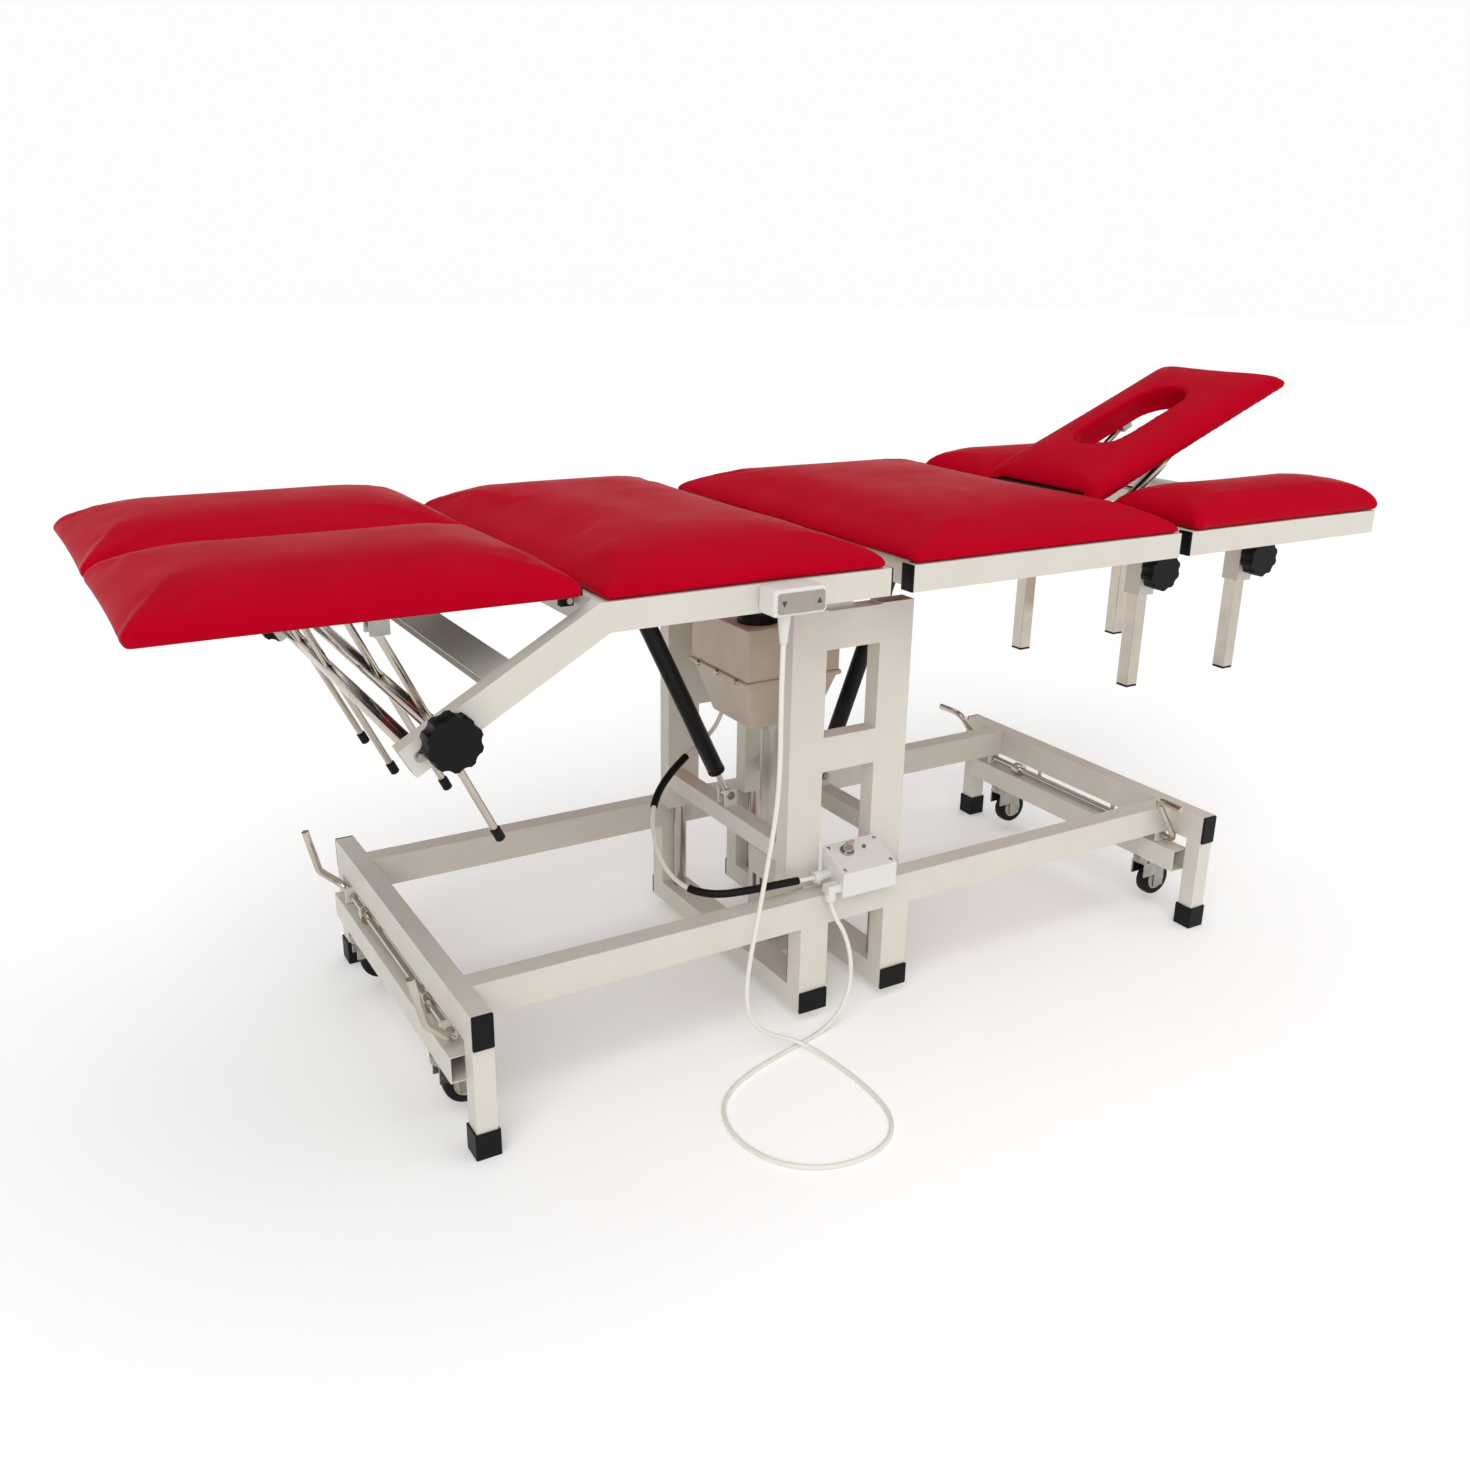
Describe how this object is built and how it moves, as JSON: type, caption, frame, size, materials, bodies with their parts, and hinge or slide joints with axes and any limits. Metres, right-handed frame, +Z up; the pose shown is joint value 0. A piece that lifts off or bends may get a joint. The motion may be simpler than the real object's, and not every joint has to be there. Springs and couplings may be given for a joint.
{
  "type": "electric treatment table",
  "caption": "Height-adjustable treatment table with split leg rests, tilting seat and back, head section with a face opening, drop armrests and pedal-operated castors.",
  "frame": {"origin": "on the floor, midway along the table's length and width", "axes": "+X towards the head section, +Z up, -Y the side with the hand control"},
  "size_m": [2.006, 0.9471, 0.9521],
  "materials": {
    "white_paint": "white powder coat on welded steel tube",
    "black_plastic": "moulded black plastic",
    "bright_steel": "zinc-plated steel",
    "grey_plastic": "light warm grey moulded casing",
    "white_plastic": "off-white moulded casing",
    "drive_metal": "drawn tube",
    "black_paint": "black gas spring barrel",
    "red_cover": "red artificial leather over foam",
    "board": "plywood board painted black",
    "castor_rubber": "rubber tread on a plastic hub",
    "cord_jacket": "flexible white jacket",
    "button_plastic": "grey push button"
  },
  "bodies": {
    "base": {"base_frame": "white_paint", "shoes_and_plugs": "black_plastic", "guide_rods": "bright_steel", "actuator_post": "white_paint", "control_box": "white_plastic", "hand_cord": "cord_jacket", "motor_cord": "cord_jacket"},
    "key": {"key_switch": "bright_steel"},
    "tower": {"tower_frame": "white_paint", "guide_bushes": "black_plastic", "motor_box": "grey_plastic", "actuator_tube": "drive_metal"},
    "seat": {"seat_frame": "white_paint", "seat_cushion": "red_cover", "hand_control": "white_plastic"},
    "up_push": {"up_button": "button_plastic"},
    "down_push": {"down_button": "button_plastic"},
    "back": {"back_frame": "white_paint", "back_cushion": "red_cover", "armrest_posts": "bright_steel"},
    "head": {"head_cushion": "red_cover", "head_board": "board"},
    "head_prop_tube": {"head_strut_tube": "bright_steel"},
    "head_prop_rod": {"head_strut_rod": "bright_steel"},
    "seat_spring_lower": {"seat_spring_rod": "bright_steel"},
    "seat_spring_upper": {"seat_spring_barrel": "black_paint"},
    "back_spring_lower": {"back_spring_rod": "bright_steel"},
    "back_spring_upper": {"back_spring_barrel": "black_paint"},
    "seat_lever": {"seat_release_lever": "black_plastic"},
    "back_lever": {"back_release_lever": "black_plastic"},
    "near_leg": {"leg_cushion_near": "red_cover", "leg_board_near": "board"},
    "near_strut_tube": {"strut_tube_near": "bright_steel"},
    "near_struts": {"leg_struts_near": "bright_steel"},
    "near_leg_knob": {"leg_knob_near": "black_plastic"},
    "near_armrest": {"armrest_frame_near": "white_paint", "arm_cushion_near": "red_cover"},
    "near_arm_knob_first": {"arm_knob_near_first": "black_plastic"},
    "near_arm_knob_second": {"arm_knob_near_second": "black_plastic"},
    "far_leg": {"leg_cushion_far": "red_cover", "leg_board_far": "board"},
    "far_strut_tube": {"strut_tube_far": "bright_steel"},
    "far_struts": {"leg_struts_far": "bright_steel"},
    "far_leg_knob": {"leg_knob_far": "black_plastic"},
    "far_armrest": {"armrest_frame_far": "white_paint", "arm_cushion_far": "red_cover"},
    "far_arm_knob_first": {"arm_knob_far_first": "black_plastic"},
    "far_arm_knob_second": {"arm_knob_far_second": "black_plastic"},
    "left_pedals": {"left_pedal_shaft": "bright_steel"},
    "left_castor_lift": {"left_castor_beam": "white_paint"},
    "left_near_fork": {"castor_fork_left_near": "bright_steel"},
    "left_near_wheel": {"castor_wheel_left_near": "castor_rubber"},
    "left_far_fork": {"castor_fork_left_far": "bright_steel"},
    "left_far_wheel": {"castor_wheel_left_far": "castor_rubber"},
    "right_pedals": {"right_pedal_shaft": "bright_steel"},
    "right_castor_lift": {"right_castor_beam": "white_paint"},
    "right_near_fork": {"castor_fork_right_near": "bright_steel"},
    "right_near_wheel": {"castor_wheel_right_near": "castor_rubber"},
    "right_far_fork": {"castor_fork_right_far": "bright_steel"},
    "right_far_wheel": {"castor_wheel_right_far": "castor_rubber"}
  },
  "joints": [
    {"name": "lift", "type": "slide", "parent": "base", "child": "tower", "axis": [0, 0, 1], "range_m": [-0.14, 0.16], "deforming": ["hand_cord", "motor_cord"]},
    {"name": "seat_tilt", "type": "hinge", "parent": "tower", "child": "seat", "pos_m": [-0.04, 0, 0.722], "axis": [0, 1, 0], "range_deg": [0, 20], "deforming": ["hand_cord"]},
    {"name": "back_tilt", "type": "hinge", "parent": "tower", "child": "back", "pos_m": [-0.008, 0, 0.722], "axis": [0, -1, 0], "range_deg": [0, 30]},
    {"name": "seat_spring_swing", "type": "hinge", "parent": "tower", "child": "seat_spring_lower", "pos_m": [-0.093, 0, 0.303], "axis": [0, 1, 0], "range_deg": [-1, 6]},
    {"name": "seat_spring_stroke", "type": "slide", "parent": "seat_spring_lower", "child": "seat_spring_upper", "axis": [-0.433, 0, 0.9014], "range_m": [-0.005, 0.085]},
    {"name": "back_spring_swing", "type": "hinge", "parent": "tower", "child": "back_spring_lower", "pos_m": [0.093, 0, 0.303], "axis": [0, 1, 0], "range_deg": [-8, 1]},
    {"name": "back_spring_stroke", "type": "slide", "parent": "back_spring_lower", "child": "back_spring_upper", "axis": [0.3492, 0, 0.937], "range_m": [-0.005, 0.13]},
    {"name": "near_leg_tilt", "type": "hinge", "parent": "seat", "child": "near_leg", "pos_m": [-0.487, -0.165, 0.73], "axis": [0, 1, 0], "range_deg": [-15, 20]},
    {"name": "near_strut_swing", "type": "hinge", "parent": "seat", "child": "near_strut_tube", "pos_m": [-0.67283, 0, 0.60471], "axis": [0, 1, 0], "range_deg": [-12, 16]},
    {"name": "near_strut_slide", "type": "slide", "parent": "near_strut_tube", "child": "near_struts", "axis": [-0.4321, 0, 0.9018], "range_m": [-0.07, 0.09]},
    {"name": "near_leg_clamp", "type": "hinge", "parent": "seat", "child": "near_leg_knob", "pos_m": [-0.67283, -0.36, 0.60471], "axis": [0, 1, 0], "continuous": true},
    {"name": "near_armrest_drop", "type": "slide", "parent": "back", "child": "near_armrest", "axis": [0, 0, 1], "range_m": [-0.15, 0]},
    {"name": "near_first_arm_clamp", "type": "hinge", "parent": "near_armrest", "child": "near_arm_knob_first", "pos_m": [0.658, -0.18, 0.637], "axis": [0, 1, 0], "continuous": true},
    {"name": "near_second_arm_clamp", "type": "hinge", "parent": "near_armrest", "child": "near_arm_knob_second", "pos_m": [0.911, -0.18, 0.637], "axis": [0, 1, 0], "continuous": true},
    {"name": "far_leg_tilt", "type": "hinge", "parent": "seat", "child": "far_leg", "pos_m": [-0.487, 0.165, 0.73], "axis": [0, 1, 0], "range_deg": [-15, 20]},
    {"name": "far_strut_swing", "type": "hinge", "parent": "seat", "child": "far_strut_tube", "pos_m": [-0.7041, 0, 0.58687], "axis": [0, 1, 0], "range_deg": [-12, 16]},
    {"name": "far_strut_slide", "type": "slide", "parent": "far_strut_tube", "child": "far_struts", "axis": [-0.4321, 0, 0.9018], "range_m": [-0.08, 0.1]},
    {"name": "far_leg_clamp", "type": "hinge", "parent": "seat", "child": "far_leg_knob", "pos_m": [-0.7041, 0.36, 0.58687], "axis": [0, 1, 0], "continuous": true},
    {"name": "far_armrest_drop", "type": "slide", "parent": "back", "child": "far_armrest", "axis": [0, 0, 1], "range_m": [-0.15, 0]},
    {"name": "far_first_arm_clamp", "type": "hinge", "parent": "far_armrest", "child": "far_arm_knob_first", "pos_m": [0.658, 0.18, 0.637], "axis": [0, 1, 0], "continuous": true},
    {"name": "far_second_arm_clamp", "type": "hinge", "parent": "far_armrest", "child": "far_arm_knob_second", "pos_m": [0.911, 0.18, 0.637], "axis": [0, 1, 0], "continuous": true},
    {"name": "head_tilt", "type": "hinge", "parent": "back", "child": "head", "pos_m": [0.527, 0, 0.735], "axis": [0, -1, 0], "range_deg": [-22.5, 10]},
    {"name": "head_prop_swing", "type": "hinge", "parent": "back", "child": "head_prop_tube", "pos_m": [0.64, 0, 0.716], "axis": [0, 1, 0], "range_deg": [-16, 34]},
    {"name": "head_prop_slide", "type": "slide", "parent": "head_prop_tube", "child": "head_prop_rod", "axis": [0.7921, 0, 0.6104], "range_m": [-0.03, 0.015]},
    {"name": "seat_release", "type": "hinge", "parent": "seat", "child": "seat_lever", "pos_m": [-0.276, -0.105, 0.688], "axis": [0, -1, 0], "range_deg": [0, 10]},
    {"name": "back_release", "type": "hinge", "parent": "back", "child": "back_lever", "pos_m": [0.026, -0.232, 0.688], "axis": [0, 1, 0], "range_deg": [0, 10]},
    {"name": "up_press", "type": "slide", "parent": "seat", "child": "up_push", "axis": [0, 1, 0], "range_m": [0, 0.0008], "stiffness_N_per_m": 400},
    {"name": "down_press", "type": "slide", "parent": "seat", "child": "down_push", "axis": [0, 1, 0], "range_m": [0, 0.0008], "stiffness_N_per_m": 400},
    {"name": "key_turn", "type": "hinge", "parent": "base", "child": "key", "pos_m": [-0.012, -0.228, 0.27195], "axis": [0, -0.3901, 0.9208], "range_deg": [0, 60]},
    {"name": "left_pedal_press", "type": "hinge", "parent": "base", "child": "left_pedals", "pos_m": [-0.656, 0, 0.152], "axis": [0, -1, 0], "range_deg": [-1, 31]},
    {"name": "left_beam_drop", "type": "slide", "parent": "base", "child": "left_castor_lift", "axis": [0, 0, -1], "range_m": [0, 0.025]},
    {"name": "left_near_swivel", "type": "hinge", "parent": "left_castor_lift", "child": "left_near_fork", "pos_m": [-0.656, -0.198, 0.1], "axis": [0, 0, 1], "continuous": true},
    {"name": "left_near_roll", "type": "hinge", "parent": "left_near_fork", "child": "left_near_wheel", "pos_m": [-0.628, -0.198, 0.048], "axis": [0, 1, 0], "continuous": true},
    {"name": "left_far_swivel", "type": "hinge", "parent": "left_castor_lift", "child": "left_far_fork", "pos_m": [-0.656, 0.198, 0.1], "axis": [0, 0, 1], "continuous": true},
    {"name": "left_far_roll", "type": "hinge", "parent": "left_far_fork", "child": "left_far_wheel", "pos_m": [-0.628, 0.198, 0.048], "axis": [0, 1, 0], "continuous": true},
    {"name": "right_pedal_press", "type": "hinge", "parent": "base", "child": "right_pedals", "pos_m": [0.694, 0, 0.152], "axis": [0, -1, 0], "range_deg": [-1, 31]},
    {"name": "right_beam_drop", "type": "slide", "parent": "base", "child": "right_castor_lift", "axis": [0, 0, -1], "range_m": [0, 0.025]},
    {"name": "right_near_swivel", "type": "hinge", "parent": "right_castor_lift", "child": "right_near_fork", "pos_m": [0.694, -0.198, 0.1], "axis": [0, 0, 1], "continuous": true},
    {"name": "right_near_roll", "type": "hinge", "parent": "right_near_fork", "child": "right_near_wheel", "pos_m": [0.722, -0.198, 0.048], "axis": [0, 1, 0], "continuous": true},
    {"name": "right_far_swivel", "type": "hinge", "parent": "right_castor_lift", "child": "right_far_fork", "pos_m": [0.694, 0.198, 0.1], "axis": [0, 0, 1], "continuous": true},
    {"name": "right_far_roll", "type": "hinge", "parent": "right_far_fork", "child": "right_far_wheel", "pos_m": [0.722, 0.198, 0.048], "axis": [0, 1, 0], "continuous": true}
  ],
  "couplings": [
    {"joint": "seat_spring_swing", "follows": "seat_tilt", "ratio": 0.21},
    {"joint": "seat_spring_stroke", "follows": "seat_tilt", "m_per_rad": 0.22},
    {"joint": "back_spring_swing", "follows": "back_tilt", "ratio": -0.2},
    {"joint": "back_spring_stroke", "follows": "back_tilt", "m_per_rad": 0.23},
    {"joint": "near_strut_swing", "follows": "near_leg_tilt", "ratio": 0.72},
    {"joint": "near_strut_slide", "follows": "near_leg_tilt", "m_per_rad": 0.22},
    {"joint": "far_strut_swing", "follows": "far_leg_tilt", "ratio": 0.73},
    {"joint": "far_strut_slide", "follows": "far_leg_tilt", "m_per_rad": 0.255},
    {"joint": "head_prop_swing", "follows": "head_tilt", "ratio": -1.44},
    {"joint": "head_prop_slide", "follows": "head_tilt", "m_per_rad": 0.07},
    {"joint": "left_pedal_press", "follows": "left_beam_drop", "rad_per_m": 20.944},
    {"joint": "right_pedal_press", "follows": "right_beam_drop", "rad_per_m": 20.944}
  ]
}
